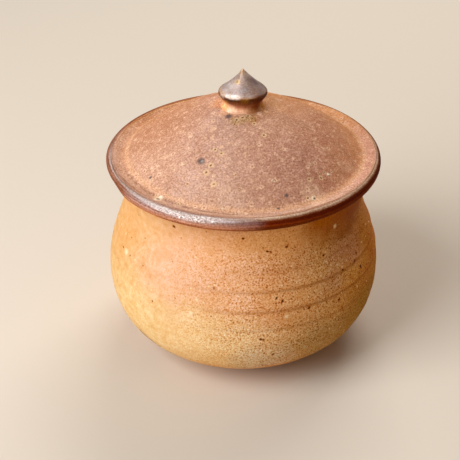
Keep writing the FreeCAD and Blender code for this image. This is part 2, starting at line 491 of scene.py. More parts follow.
def on_pot(azimuth_deg, height):
    """The point of the pot's outside at an azimuth and height, in millimetres."""
    azimuth = math.radians(azimuth_deg)
    radius = np.interp(height, [point[1] for point in pot_outside], [point[0] for point in pot_outside])
    return radius * math.sin(azimuth), -radius * math.cos(azimuth), height


def on_lid(azimuth_deg, radius):
    """The point of the lid's top at an azimuth and radius, in millimetres."""
    azimuth = math.radians(azimuth_deg)
    top = sorted(groove + dome)
    height = np.interp(radius, [point[0] for point in top], [point[1] for point in top])
    return radius * math.sin(azimuth), -radius * math.cos(azimuth), height


def placed(surface, rows):
    """Rows that start with an azimuth and a height or radius, with the surface's point in their place."""
    return [(surface(azimuth_deg, along), *rest) for azimuth_deg, along, *rest in rows]


def place_on(tree):
    """Where a point is, in millimetres, so that each pattern is given by its real size."""
    coordinates = add(tree, "TexCoord", output="Object")
    return add(tree, "VectorMath", {0: coordinates, "Scale": 1 / MM}, operation="SCALE")


def strayed(tree, place, size, reach):
    """The place moved about by up to reach, so that patches get the ragged edges that flames leave."""
    drift = add(tree, "TexNoise", {"Vector": place, "Scale": 1 / size, "Detail": 2.0}, output="Color")
    centred = add(tree, "VectorMath", {0: drift, 1: (0.5, 0.5, 0.5)}, operation="SUBTRACT")
    return add(tree, "VectorMath", {0: centred, 1: (2 * reach,) * 3, 2: place}, operation="MULTIPLY_ADD")


def covered(tree, colour, layers):
    """The colour under each layer in turn: (how far it covers, tint) each."""
    for cover, tint in layers:
        colour = add(tree, "Mix", {0: cover, 6: colour, 7: linear(tint)}, data_type="RGBA", output=2)
    return colour


def with_flashes_and_painted_light(tree, colour, place, flatten, flashes):
    """The colour under soft patches: (centre, reach, tint, strength) each, made lower by flatten."""
    squashed = add(tree, "VectorMath", {0: place, 1: (1, 1, flatten)}, operation="MULTIPLY")
    layers = []
    for centre, reach, tint, strength in flashes:
        middle = (centre[0], centre[1], centre[2] * flatten)
        away = add(tree, "VectorMath", {0: squashed, 1: middle}, operation="DISTANCE", output="Value")
        cover = add(tree, "MapRange", {0: away, 1: reach, 2: 0.2 * reach, 3: 0.0, 4: strength},
                    interpolation_type="SMOOTHSTEP")
        layers.append((cover, tint))
    return covered(tree, colour, layers)


def shaded(tree, position, tints):
    """The colour at a position along a run of tints: (position, tint) each."""
    first, last = tints[0][0], tints[-1][0]
    share = add(tree, "MapRange", {0: position, 1: float(first), 2: float(last)})
    ramp = add(tree, "ValToRGB", {0: share})
    stops = ramp.node.color_ramp.elements
    for at, tint in tints[1:-1]:
        stops.new((at - first) / (last - first)).color = linear(tint)
    stops[0].color = linear(tints[0][1])
    stops[-1].color = linear(tints[-1][1])
    return ramp


def ironed(tree, colour, value, powers):
    """The colour times a value, to a power each for red, green and blue: iron takes the blue away first."""
    value = add(tree, "Math", {0: value, 1: 0.1}, operation="MAXIMUM")
    channels = [add(tree, "Math", {0: value, 1: power}, operation="POWER") for power in powers]
    tinge = add(tree, "CombineXYZ", dict(enumerate(channels)))
    return add(tree, "VectorMath", {0: colour, 1: tinge}, operation="MULTIPLY")


def specked(tree, place, spacing, size, share):
    """How far a point lies in a speck: specks of up to that size, in a share of cells of that spacing."""
    cells = add(tree, "TexVoronoi", {"Vector": place, "Scale": 1 / spacing}).node.outputs
    chance = add(tree, "SeparateColor", {0: cells["Color"]})
    chosen = add(tree, "Math", {0: chance, 1: share}, operation="LESS_THAN")
    reach = size / 2 / spacing
    return add(tree, "MapRange", {0: cells["Distance"], 1: reach, 2: 0.45 * reach, 3: 0.0, 4: chosen},
               interpolation_type="SMOOTHSTEP")


def nearest(tree, place, spots):
    """The distance to the nearest spot, in that spot's own radii: (centre, diameter) each."""
    found = None
    for centre, diameter in spots:
        away = add(tree, "VectorMath", {0: place, 1: centre}, operation="DISTANCE", output="Value")
        away = add(tree, "Math", {0: away, 1: diameter / 2}, operation="DIVIDE")
        if found:
            away = add(tree, "Math", {0: away, 1: found}, operation="MINIMUM")
        found = away
    return found


def surfaced(tree, colour, roughness, relief, shine, metallic=0.0):
    """Gives the material its surface: fired clay of that colour, roughness, relief and shine."""
    clay = add(tree, "BsdfPrincipled", {
        "Base Color": colour, "Roughness": roughness, "Metallic": metallic, "Normal": relief,
        "IOR": 1.5, "Specular IOR Level": shine,
    })
    add(tree, "OutputMaterial", {"Surface": clay})


# Pattern sizes, and what iron does to red, green and blue
POT_GRAIN = 0.56
POT_PATCH = 1.7
POT_MOTTLE = 3.2
POT_CLOUD = 9.0
POT_STREAK = 1.6
POT_IRON = (0.42, 1.0, 2.0)

# Tints from left to right, at x
# The pale left carries part of a painted sheen, and the deep browns on the right painted warm reflected
# light, over the clay's flashing
POT_TINTS_ACROSS = [
    (-52, "DDB37A"), (-30, "E0B282"), (-5, "E2AC7E"), (12, "DFA46C"), (30, "DAA666"), (37, "D9A25E"),
    (43, "D79949"), (53, "B87018"),
]

# Azimuth, height, reach, tint and strength
POT_FLASHES_AND_PAINTED_LIGHT = [
    # A painted sheen on the upper left
    (-28, 57, 30, "E8B99C", 0.6),
    (-74, 58, 26, "DDA66A", 0.6),
    (-50, 24, 44, "E9CD96", 0.85),
    (-10, 24, 38, "F2D4A0", 0.9),
    # Painted light on the neck, lifting the rim's shadow
    (-8, 68, 24, "EDB98E", 0.8),
    (-4, 47, 12, "F2C49C", 0.5),
    (16, 60, 17, "CC8C58", 0.35),
    (17, 37, 14, "CC8E58", 0.3),
    # Painted light on the neck, lifting the rim's shadow
    (12, 70, 20, "E6AC6C", 0.7),
    # The next two: partly flashing, partly painted shade under the lid on the neck's right
    (44, 73, 20, "B06600", 1.0),
    (66, 72, 30, "944A00", 1.0),
    (53, 56, 14, "CC9068", 0.7),
    (40, 48, 12, "C28C6C", 0.3),
    (20, 31, 20, "E4B478", 0.6),
    (36, 22, 32, "B99760", 0.85),
    (66, 22, 36, "A07420", 0.9),
    # Painted shade near the floor
    (64, 17, 14, "845800", 0.7),
    (6, 18, 18, "D6C2A2", 0.65),
    # The next four: painted shade near the floor
    (-54, 11, 15, "9E7038", 0.7),
    (-57, 12, 14, "9C6C30", 0.45),
    (-74, 20, 13, "B07C3C", 0.6),
    (32, 13, 13, "B08C50", 0.5),
    (120, 56, 48, "B8743C", 0.7),
    (168, 30, 50, "D9A869", 0.8),
    (205, 62, 40, "CE8F5B", 0.7),
    (225, 40, 44, "DDAF76", 0.7),
]

# Azimuth, height and diameter
POT_IRON_SPOTS = [
    (-32, 73, 1.3), (-65.4, 51.5, 0.8), (-58, 51.5, 0.8), (0, 72.3, 1.1), (10.6, 66.1, 1.1),
    (12, 65.9, 1.0), (19.7, 66.8, 1.2), (-28.5, 45.5, 0.7), (-39.4, 40.5, 0.7), (13.5, 48.6, 1.1),
    (15.8, 47.2, 1.1), (26.9, 41.9, 1.3), (58.5, 46.4, 1.6), (46.7, 50.3, 1.2), (55.6, 50.2, 1.4),
    (6.8, 31.9, 1.3), (7.9, 31.6, 1.1), (12.2, 22.8, 1.3), (41.9, 40, 1.2), (37.9, 59, 1.1),
    (130, 50, 1.6), (165, 62, 1.3), (-120, 44, 1.4), (-150, 34, 1.2), (100, 30, 1.4),
]
POT_CREAM_GRITS = [
    (46.5, 68, 2.0), (-61.6, 51.3, 3.0), (-19, 47.1, 1.5), (-20.9, 41.3, 1.8), (17.3, 40.6, 1.6),
    (-16, 46.5, 0.9), (140, 40, 1.8), (-110, 58, 1.6),
]


def fired_stoneware_pot():
    """Wood-fired stoneware, unglazed: satin and sandy to the eye, rust to straw, with iron specks."""
    material, tree = blank("fired_stoneware_pot")
    place = place_on(tree)
    axes = add(tree, "SeparateXYZ", {0: place}).node.outputs
    ragged = strayed(tree, place, size=15, reach=8)

    # Paler towards the fire on the left, and browner away from it. Part of this is painted: a sheen on the
    # left, warm reflected light on the right, and the shade and light patches noted in the table
    across = add(tree, "SeparateXYZ", {0: ragged})
    colour = shaded(tree, across, POT_TINTS_ACROSS)
    colour = with_flashes_and_painted_light(tree, colour, ragged, flatten=1.5, flashes=placed(on_pot, POT_FLASHES_AND_PAINTED_LIGHT))

    # The inside and the foot, which the flame doesn't reach, are plainer and paler
    inside = add(tree, "Attribute", output="Fac", attribute_name="inside")
    foot = add(tree, "Attribute", output="Fac", attribute_name="foot")
    colour = covered(tree, colour, [(inside, "C08A5E"), (foot, "CFA77C")])

    # Sandy grain, with darker hollows between: smoother to the left, on the wiped neck and in worn patches
    clouds = add(tree, "TexNoise", {"Vector": ragged, "Scale": 1 / POT_CLOUD, "Detail": 3.0})
    grain = add(tree, "TexNoise", {"Vector": place, "Scale": 1 / POT_GRAIN, "Detail": 2.0, "Distortion": 0.3})
    sandy = add(tree, "MapRange", {0: axes[0], 1: -30.0, 2: 12.0, 3: 0.15, 4: 1.0})
    wiped = add(tree, "MapRange", {0: axes[2], 1: 58.0, 2: 70.0, 3: 1.0, 4: 0.5})
    worn = add(tree, "MapRange", {0: clouds, 1: 0.38, 2: 0.62, 3: 0.8, 4: 1.15})
    for share in (wiped, worn):
        sandy = add(tree, "Math", {0: sandy, 1: share}, operation="MULTIPLY")
    ground = add(tree, "MapRange", {0: axes[0], 1: -40.0, 2: 6.0, 3: 0.36, 4: 0.63})
    grains = add(tree, "Math", {0: grain, 1: 3.4, 2: -1.7}, operation="MULTIPLY_ADD")
    hollows_between = add(tree, "MapRange", {0: grain, 1: 0.3, 2: 0.46, 3: -0.4, 4: 0.0})
    grains = add(tree, "Math", {0: grains, 1: hollows_between}, operation="ADD")
    value = add(tree, "Math", {0: grains, 1: sandy, 2: ground}, operation="MULTIPLY_ADD")

    # Patches, clouds, streaks that the fingers drew round, and a mottle that is strongest by the fire
    patches = add(tree, "TexNoise", {"Vector": place, "Scale": 1 / POT_PATCH, "Detail": 1.0})
    mottle = add(tree, "TexNoise", {"Vector": ragged, "Scale": 1 / POT_MOTTLE, "Detail": 2.0})
    fireward = add(tree, "MapRange", {0: axes[0], 1: -8.0, 2: -36.0, 3: 0.16, 4: 0.62})
    drawn = add(tree, "VectorMath", {0: ragged, 1: (0.05, 0.05, 1)}, operation="MULTIPLY")
    streaks = add(tree, "TexNoise", {"Vector": drawn, "Scale": 1 / POT_STREAK, "Detail": 2.0})
    for pattern, depth in ((patches, 0.3), (mottle, fireward), (clouds, 0.24), (streaks, 0.2)):
        value = add(tree, "Math", {0: pattern, 1: depth, 2: value}, operation="MULTIPLY_ADD")

    # Iron specks, fewer where the flame came from, each bleeding a brown stain into the clay
    busy = add(tree, "MapRange", {0: axes[0], 1: -22.0, 2: 16.0, 3: 0.012, 4: 0.12})
    busy = add(tree, "Math", {0: busy, 1: wiped}, operation="MULTIPLY")
    fine = specked(tree, place, spacing=1.2, size=0.9, share=busy)
    coarse = specked(tree, place, spacing=3.6, size=1.5, share=busy)
    coarse = add(tree, "Math", {0: coarse, 1: sandy}, operation="MULTIPLY")
    wobbly = strayed(tree, place, size=0.8, reach=0.3)
    iron = nearest(tree, wobbly, placed(on_pot, POT_IRON_SPOTS))
    stain = add(tree, "MapRange", {0: iron, 1: 1.6, 2: 0.7})
    for cover, depth in ((fine, 0.4), (coarse, 0.5), (stain, 0.6)):
        value = add(tree, "Math", {0: cover, 1: -depth, 2: value}, operation="MULTIPLY_ADD")
    colour = ironed(tree, colour, value, POT_IRON)

    # A painted shade line under each throwing ridge: on the shoulder, and faint to the left, towards the lamp
    backward = add(tree, "Math", {0: axes[1], 1: -1}, operation="MULTIPLY")
    azimuth = add(tree, "Math", {0: axes[0], 1: backward}, operation="ARCTAN2")
    rise = add(tree, "Math", {0: axes[2], 1: GROOVE_AT_FRONT}, operation="SUBTRACT")
    rise = add(tree, "Math", {0: rise, 1: THROWING_PITCH}, operation="DIVIDE")
    phase = add(tree, "Math", {0: azimuth, 1: 1 / math.tau, 2: rise}, operation="MULTIPLY_ADD")
    off_line = add(tree, "Math", {0: phase, 1: 0.5}, operation="PINGPONG")
    ridge_shade_line = add(tree, "MapRange", {0: off_line, 1: 0.15, 2: 0.0, 3: 0.0, 4: 0.6},
               interpolation_type="SMOOTHSTEP")
    on_shoulder = add(tree, "MapRange", {0: axes[2], 1: 30.0, 2: 40.0, 3: 0.1, 4: 1.0})
    below_neck = add(tree, "MapRange", {0: axes[2], 1: 60.0, 2: 53.0, 3: 0.0, 4: 1.0})
    away_from_lamp = add(tree, "MapRange", {0: axes[0], 1: -20.0, 2: 25.0, 3: 0.12, 4: 1.0})
    for share in (on_shoulder, below_neck, away_from_lamp):
        ridge_shade_line = add(tree, "Math", {0: ridge_shade_line, 1: share}, operation="MULTIPLY")

    # The iron specks' dark hearts, and pale grit
    dark = add(tree, "Math", {0: fine, 1: 0.35}, operation="MULTIPLY")
    heart = add(tree, "Math", {0: coarse, 1: 0.75}, operation="MULTIPLY")
    dark = add(tree, "Math", {0: dark, 1: heart}, operation="MAXIMUM")
    gritty = add(tree, "MapRange", {0: axes[2], 1: 56.0, 2: 66.0, 3: 0.2, 4: 0.03})
    pale = specked(tree, place, spacing=2.2, size=1.0, share=gritty)
    spot = add(tree, "MapRange", {0: iron, 1: 0.92, 2: 0.55, 3: 0.0, 4: 0.97})
    grit = nearest(tree, wobbly, placed(on_pot, POT_CREAM_GRITS))
    grit = add(tree, "MapRange", {0: grit, 1: 1.2, 2: 0.4, 3: 0.0, 4: 0.8})
    colour = covered(tree, colour, [
        (ridge_shade_line, "9E5C12"), (pale, "F6DCB4"), (dark, "5C2000"), (spot, "461600"), (grit, "F8E6C4"),
    ])

    relief = add(tree, "Math", {0: grain, 1: sandy}, operation="MULTIPLY")
    relief = add(tree, "Math", {0: grit, 1: 0.8, 2: relief}, operation="MULTIPLY_ADD")
    relief = add(tree, "Math", {0: dark, 1: -0.4, 2: relief}, operation="MULTIPLY_ADD")
    bumped = add(tree, "Bump", {"Height": relief, "Distance": 0.13 * MM, "Strength": 1.0})
    satin = add(tree, "MapRange", {0: clouds, 1: 0.3, 2: 0.7, 3: 0.62, 4: 0.8})
    surfaced(tree, colour, satin, bumped, shine=0.08)
    return material


# Pattern sizes, and what iron does to red, green and blue
LID_GRAIN = 0.6
LID_WORMS = 0.9
LID_BREAKS = 2.4
LID_CLOUD = 6.0
LID_IRON = (0.7, 1.0, 1.3)
ASH_CRACKLE = 0.55

# Angles round the rim's section, in degrees
RIM_FRAYING = 14.0
RIM_DARK_EDGE = 49.0
RIM_RINGS = 11.0

# Tints from left to right, at x
LID_TINTS_ACROSS = [
    (-54, "BE8660"), (-34, "C29480"), (-8, "C09888"), (14, "BE8E76"), (32, "C0866A"), (36, "C38969"),
    (40, "CA8C68"), (45, "D29368"), (48, "D89A70"),
]
LID_FLANGE_TINTS_ACROSS = [
    (-54, "C89C80"), (-40, "C09682"), (-18, "C09886"), (0, "C09884"), (25, "C3A090"), (42, "C49482"),
    (54, "C28C76"),
]

# Azimuth, radius, reach, tint and strength
LID_FLASHES_AND_PAINTED_LIGHT = [
    (-58, 42, 20, "CDA28A", 0.7),
    (-90, 30, 24, "B47C58", 0.65),
    (32, 34, 22, "B28070", 0.6),
    (180, 36, 44, "C98558", 0.85),
    (-130, 40, 30, "BE8254", 0.8),
    (130, 44, 30, "D6965E", 0.8),
    (150, 20, 18, "D49256", 0.6),
    (-20, 44, 16, "D2A890", 0.5),
    (-100, 10, 7, "D6935F", 0.8),
    # Painted light at the knob's foot on the left, over its ochre
    (-40, 9, 4.5, "EBB48C", 0.8),
    (15, 10, 5, "BE7E4C", 0.55),
    # Painted shade beside the knob's foot on the right
    (60, 9, 6, "B87C3C", 0.8),
    # The next two: painted light that lifts the knob's cast shadow on the right
    (108, 12.5, 8, "F0B684", 0.85),
    (104, 20, 12, "DCA078", 0.6),
    (34, 45.5, 9, "DEB69C", 0.65),
    # A painted highlight along the groove on the right
    (66, 45.5, 7, "DCAA8E", 0.45),
    (-30, 42, 10, "D6B4A8", 0.5),
    (-5, 43, 9, "D4B09C", 0.4),
]

# Tints round the rim's section, from below: at 0 degrees its outermost line, and at 90 its top
# Towards the fire, the pinkish face below the ash is partly a painted sheen
RIM_TINTS_FIREWARD_WITH_SHEEN = [
    (-45, "8A4A30"), (-28, "B87658"), (-12, "C28A70"), (2, "BE8C7A"), (20, "B08880"), (40, "A08484"),
    (62, "B4A2A2"), (74, "A08A86"), (90, "A27E6E"), (104, "B88E7A"), (124, "C09884"),
]
RIM_TINTS_AWAY = [
    (-45, "7A3C10"), (-20, "682A00"), (4, "742C04"), (22, "5A1600"), (42, "5C2000"), (49, "82523C"),
    (62, "A4846E"), (80, "C2A28C"), (90, "AA846E"), (96, "8E6652"), (104, "BE947C"), (124, "C49C84"),
]
RIM_TINTS_BACK = [
    (-45, "6A2C08"), (50, "7A3408"), (86, "8C4C1A"), (100, "B87C4E"), (124, "CC9868"),
]

# Azimuth, radius and diameter
LID_OCHRE_PATCHES = [(-11, 12.4, 5.5), (2, 10.8, 4.0), (14, 11, 5.5)]
LID_RING_PITS = [
    (-22, 35.3, 2.6), (-20.8, 32.6, 2.4), (-15.6, 38.7, 2.4), (-22.5, 26.6, 1.9), (-16.4, 27.6, 2.0),
    (23, 20.2, 2.2), (31.3, 45.2, 1.9), (44, 41.2, 2.0), (37, 40.2, 2.0), (-29.7, 46.9, 1.5),
    (-39.8, 48.2, 4.0), (-10.7, 11.8, 2.4), (34.3, 45.9, 2.4), (48.4, 40.4, 1.3), (0, 10.3, 2.4),
    (11.9, 9.6, 2.0), (17.8, 14.1, 2.0), (11.7, 12, 1.6), (110, 30, 2.2), (150, 24, 2.2), (200, 38, 2.2),
]
LID_IRON_SPOTS = [
    (-28.6, 32, 3.1), (21.4, 42.9, 1.7), (15.8, 46.2, 1.2), (-30, 10.6, 2.8), (-52.7, 43.2, 1.3),
    (170, 36, 2.0), (-120, 28, 1.6),
]
# A painted highlight: the pale heart of the largest iron spot
LID_SPOT_PAINTED_HIGHLIGHTS = [(-27.7, 31.9, 1.4)]
LID_CREAM_GRITS = [
    (-39.7, 46.9, 2.2), (-39.6, 48.4, 2.8), (-39.6, 49.9, 2.0), (33.8, 45.8, 1.8), (49.6, 41.4, 1.6),
    (16.3, 37.7, 0.9), (-9.1, 45.6, 0.9), (120, 40, 1.4), (-150, 44, 1.6),
]


def fired_stoneware_lid():
    """Wood-fired stoneware, unglazed: mauve-pink and finely mottled to the eye, with an ash-skinned rim."""
    material, tree = blank("fired_stoneware_lid")
    place = place_on(tree)
    flat = add(tree, "VectorMath", {0: place, 1: (1, 1, 0)}, operation="MULTIPLY")
    radius = add(tree, "VectorMath", {0: flat}, operation="LENGTH", output="Value")
    axes = add(tree, "SeparateXYZ", {0: place}).node.outputs
    ragged = strayed(tree, place, size=12, reach=6)
    across = add(tree, "SeparateXYZ", {0: ragged})
    broken = add(tree, "TexNoise", {"Vector": place, "Scale": 1 / LID_BREAKS, "Detail": 3.0})
    loose_radius = add(tree, "Math", {0: broken, 1: 2.0, 2: radius}, operation="MULTIPLY_ADD")
    on_flange = add(tree, "MapRange", {0: loose_radius, 1: GROOVE_RADIUS + 0.2, 2: GROOVE_RADIUS + 2.2})
    colour = add(tree, "Mix", {
        0: on_flange,
        6: shaded(tree, across, LID_TINTS_ACROSS),
        7: shaded(tree, across, LID_FLANGE_TINTS_ACROSS),
    }, data_type="RGBA", output=2)
    colour = with_flashes_and_painted_light(tree, colour, ragged, flatten=1, flashes=placed(on_lid, LID_FLASHES_AND_PAINTED_LIGHT))

    # A painted light ring round the foot of the dome, where the groove's slope catches the light, and a
    # painted shadow line in the crease outside it at the front left
    ring_radius = add(tree, "MapRange", {0: axes[0], 1: -30.0, 2: 52.0, 3: 46.5, 4: 48.3})
    off_ring = add(tree, "Math", {0: loose_radius, 1: ring_radius}, operation="SUBTRACT")
    off_crease = add(tree, "Math", {0: off_ring, 1: 1.7}, operation="SUBTRACT")
    off_ring = add(tree, "Math", {0: off_ring}, operation="ABSOLUTE")
    off_crease = add(tree, "Math", {0: off_crease}, operation="ABSOLUTE")
    groove_light = add(tree, "MapRange", {0: off_ring, 1: 1.5, 2: 0.3, 3: 0.0, 4: 0.58})
    crease_shadow = add(tree, "MapRange", {0: off_crease, 1: 0.9, 2: 0.1, 3: 0.0, 4: 0.6})
    at_front = add(tree, "MapRange", {0: axes[1], 1: -8.0, 2: -20.0})
    leftward = add(tree, "MapRange", {0: axes[0], 1: 12.0, 2: -14.0})
    for share in (at_front, leftward):
        crease_shadow = add(tree, "Math", {0: crease_shadow, 1: share}, operation="MULTIPLY")

    # The ochre patch by the knob, crowded with brown specks
    patch = nearest(tree, strayed(tree, place, size=3, reach=2), placed(on_lid, LID_OCHRE_PATCHES))
    patch = add(tree, "MapRange", {0: patch, 1: 1.2, 2: 0.6})
    crowded = specked(tree, strayed(tree, place, size=1, reach=0.4), spacing=1.1, size=1.0, share=0.6)
    crowded = add(tree, "Math", {0: crowded, 1: patch}, operation="MULTIPLY")
    patch = add(tree, "Math", {0: patch, 1: 0.5}, operation="MULTIPLY")

    # Fine pale mottling, some of it with a dark eye, on clouds of deeper and paler clay
    worms = add(tree, "TexNoise", {"Vector": place, "Scale": 1 / LID_WORMS, "Detail": 2.5, "Distortion": 0.4})
    mottle = add(tree, "MapRange", {0: worms, 1: 0.54, 2: 0.7, 3: 0.0, 4: 0.75})
    loose = strayed(tree, place, size=1.4, reach=0.5)
    pale = specked(tree, loose, spacing=2.9, size=2.4, share=0.36)
    pale = add(tree, "Math", {0: pale, 1: 0.6}, operation="MULTIPLY")
    eye = specked(tree, loose, spacing=2.9, size=1.1, share=0.3)
    eye = add(tree, "Math", {0: eye, 1: 0.8}, operation="MULTIPLY")
    blotch = add(tree, "MapRange", {0: broken, 1: 0.5, 2: 0.68, 3: 0.0, 4: 0.4})
    colour = covered(tree, colour, [
        (groove_light, "E0B08A"), (crease_shadow, "85583F"), (patch, "C09A5C"), (blotch, "E2B89E"),
        (mottle, "E0B59C"), (pale, "EFC9AC"), (eye, "9E6A52"), (crowded, "7A4620"),
    ])
    grain = add(tree, "TexNoise", {"Vector": place, "Scale": 1 / LID_GRAIN, "Detail": 2.0})
    clouds = add(tree, "TexNoise", {"Vector": ragged, "Scale": 1 / LID_CLOUD, "Detail": 4.0})
    value = add(tree, "Math", {0: clouds, 1: 0.6, 2: -0.2}, operation="MULTIPLY_ADD")
    value = add(tree, "Math", {0: grain, 1: 1.8, 2: value}, operation="MULTIPLY_ADD")
    colour = ironed(tree, colour, value, LID_IRON)

    # Pits with an ochre ring, blue-black iron spots, the largest with a pale heart that is a painted
    # highlight, and cream grit
    wobbly = strayed(tree, place, size=0.8, reach=0.5)
    pit = nearest(tree, wobbly, placed(on_lid, LID_RING_PITS))
    halo = add(tree, "MapRange", {0: pit, 1: 1.15, 2: 0.7, 3: 0.0, 4: 0.6})
    hole = add(tree, "MapRange", {0: pit, 1: 0.5, 2: 0.2, 3: 0.0, 4: 0.85})
    spot = nearest(tree, wobbly, placed(on_lid, LID_IRON_SPOTS))
    spot = add(tree, "MapRange", {0: spot, 1: 1.25, 2: 0.5, 3: 0.0, 4: 0.85})
    heart = nearest(tree, wobbly, placed(on_lid, LID_SPOT_PAINTED_HIGHLIGHTS))
    heart = add(tree, "MapRange", {0: heart, 1: 1.1, 2: 0.2, 3: 0.0, 4: 0.75})
    grit = nearest(tree, wobbly, placed(on_lid, LID_CREAM_GRITS))
    grit = add(tree, "MapRange", {0: grit, 1: 1.1, 2: 0.5, 3: 0.0, 4: 0.9})
    hidden = add(tree, "Attribute", output="Fac", attribute_name="underside")
    colour = covered(tree, colour, [
        (halo, "F4D2A6"), (grit, "FFF0DC"), (hole, "5E3010"), (spot, "564E52"), (heart, "B6B4B6"),
        (hidden, "C08A62"),
    ])

    # The rim, by the angle round its section. Its iron skin is pinkish towards the fire on the left, partly a
    # painted sheen, and burnt dark below a crisp edge on the right, where the pale band over that edge thins
    # out
    above = add(tree, "Math", {0: axes[2], 1: rim_centre[1]}, operation="SUBTRACT")
    beyond = add(tree, "Math", {0: radius, 1: rim_centre[0]}, operation="SUBTRACT")
    section = add(tree, "Math", {0: above, 1: beyond}, operation="ARCTAN2")
    section = add(tree, "Math", {0: section, 1: math.degrees(1)}, operation="MULTIPLY")
    frayed = add(tree, "Math", {0: broken, 1: 0.5}, operation="SUBTRACT")
    section = add(tree, "Math", {0: frayed, 1: RIM_FRAYING, 2: section}, operation="MULTIPLY_ADD")
    thinned = add(tree, "MapRange", {0: axes[0], 1: 26.0, 2: 50.0, 3: 0.0, 4: 1.0})
    top_band = add(tree, "Math", {0: section, 1: RIM_DARK_EDGE}, operation="SUBTRACT")
    top_band = add(tree, "Math", {0: top_band, 1: 0.0}, operation="MAXIMUM")
    section = add(tree, "Math", {0: top_band, 1: thinned, 2: section}, operation="MULTIPLY_ADD")
    skin = add(tree, "Mix", {
        0: add(tree, "MapRange", {0: across, 1: 9.0, 2: -8.0}),
        6: shaded(tree, section, RIM_TINTS_AWAY),
        7: shaded(tree, section, RIM_TINTS_FIREWARD_WITH_SHEEN),
    }, data_type="RGBA", output=2)
    far_left = add(tree, "MapRange", {0: across, 1: -36.0, 2: -46.0, 3: 0.0, 4: 0.9})
    below_edge = add(tree, "MapRange", {0: section, 1: 76.0, 2: 64.0})
    far_left = add(tree, "Math", {0: far_left, 1: below_edge}, operation="MULTIPLY")
    skin = covered(tree, skin, [(far_left, "905C42")])
    at_back = add(tree, "MapRange", {0: axes[1], 1: -6.0, 2: 24.0, 3: 0.0, 4: 0.85})
    back = shaded(tree, section, RIM_TINTS_BACK)
    skin = add(tree, "Mix", {0: at_back, 6: skin, 7: back}, data_type="RGBA", output=2)

    # Fine rings that turning left along the rim
    lift = add(tree, "CombineXYZ", {2: section})
    along = add(tree, "VectorMath", {0: place, 1: (0.6, 0.6, 0), 2: lift}, operation="MULTIPLY_ADD")
    rings = add(tree, "TexNoise", {"Vector": along, "Scale": 1 / RIM_RINGS, "Detail": 1.0})
    skin_value = add(tree, "Math", {0: rings, 1: 2.2, 2: -0.1}, operation="MULTIPLY_ADD")
    skin_value = add(tree, "Math", {0: skin_value, 1: value}, operation="MULTIPLY")
    skin = ironed(tree, skin, skin_value, LID_IRON)
    on_rim = add(tree, "MapRange", {0: section, 1: 130.0, 2: 112.0})
    colour = add(tree, "Mix", {0: on_rim, 6: colour, 7: skin}, data_type="RGBA", output=2)

    # Ash lay on the rim's front towards the fire, and left a pale, metallic and finely crackled shine. Its
    # band draws up to the rim's top on the right, and is narrow and nearly spent at the far left, where its
    # thin pale line is a painted highlight
    middle = add(tree, "MapRange", {0: across, 1: -46.0, 2: -22.0, 3: 70.0, 4: 45.0})
    reach = add(tree, "MapRange", {0: across, 1: -46.0, 2: -22.0, 3: 9.0, 4: 37.0})
    drawn_up = add(tree, "MapRange", {0: across, 1: -14.0, 2: 2.0, 3: 0.0, 4: 16.0})
    middle = add(tree, "Math", {0: middle, 1: drawn_up}, operation="ADD")
    reach = add(tree, "Math", {0: reach, 1: drawn_up}, operation="SUBTRACT")
    off_middle = add(tree, "Math", {0: section, 1: middle}, operation="SUBTRACT")
    off_middle = add(tree, "Math", {0: off_middle}, operation="ABSOLUTE")
    ash = add(tree, "Math", {0: off_middle, 1: reach}, operation="DIVIDE")
    ash = add(tree, "MapRange", {0: ash, 1: 1.0, 2: 0.6})
    in_front = add(tree, "MapRange", {0: axes[1], 1: 10.0, 2: -12.0})
    fireward = add(tree, "MapRange", {0: across, 1: 1.0, 2: -11.0, 3: 0.0, 4: 0.85})
    spent = add(tree, "MapRange", {0: across, 1: -48.0, 2: -26.0, 3: 0.45, 4: 1.0})
    crackle = add(tree, "TexNoise", {"Vector": place, "Scale": 1 / ASH_CRACKLE, "Detail": 3.0})
    patchy = add(tree, "MapRange", {0: crackle, 1: 0.4, 2: 0.58, 3: 0.2, 4: 1.0})
    for share in (in_front, fireward, spent, patchy):
        ash = add(tree, "Math", {0: ash, 1: share}, operation="MULTIPLY")
    colour = covered(tree, colour, [(ash, "DAD2D2")])

    dull = add(tree, "MapRange", {0: ash, 1: 0.0, 2: 0.8, 3: 0.8, 4: 0.42})
    crackle = add(tree, "Math", {0: crackle, 1: ash}, operation="MULTIPLY")
    relief = add(tree, "Math", {0: grain, 1: hole}, operation="SUBTRACT")
    relief = add(tree, "Math", {0: relief, 1: grit}, operation="ADD")
    bumped = add(tree, "Bump", {"Height": relief, "Distance": 0.3 * MM, "Strength": 1.0})
    bumped = add(tree, "Bump", {"Height": crackle, "Distance": 0.2 * MM, "Strength": 1.0, "Normal": bumped})
    surfaced(tree, colour, dull, bumped, shine=0.06, metallic=ash)
    return material


RING_GRAIN = 0.75
RING_CLOUD = 9.0


def bare_stoneware_ring():
    """Fired stoneware that the lid hid from the flame: matt, buff and plain."""
    material, tree = blank("bare_stoneware_ring")
    place = place_on(tree)
    grain = add(tree, "TexNoise", {"Vector": place, "Scale": 1 / RING_GRAIN, "Detail": 2.0})
    clouds = add(tree, "TexNoise", {"Vector": place, "Scale": 1 / RING_CLOUD, "Detail": 3.0})
    dark = specked(tree, place, spacing=1.6, size=0.8, share=0.3)
    colour = covered(tree, linear("B98258"), [(clouds, "D0A077"), (dark, "8A5A38")])
    value = add(tree, "Math", {0: grain, 1: 0.6, 2: 0.7}, operation="MULTIPLY_ADD")
    colour = add(tree, "HueSaturation", {"Value": value, "Color": colour})
    bumped = add(tree, "Bump", {"Height": grain, "Distance": 0.25 * MM, "Strength": 1.0})
    surfaced(tree, colour, 0.72, bumped, shine=0.3)
    return material


KNOB_GRAIN = 0.6
KNOB_STREAK = 1.8
KNOB_IRON = (0.6, 1.0, 1.35)
KNOB_PIT = ((-2.0, -3.2, KNOB_TOP - 3.9), 2.2)

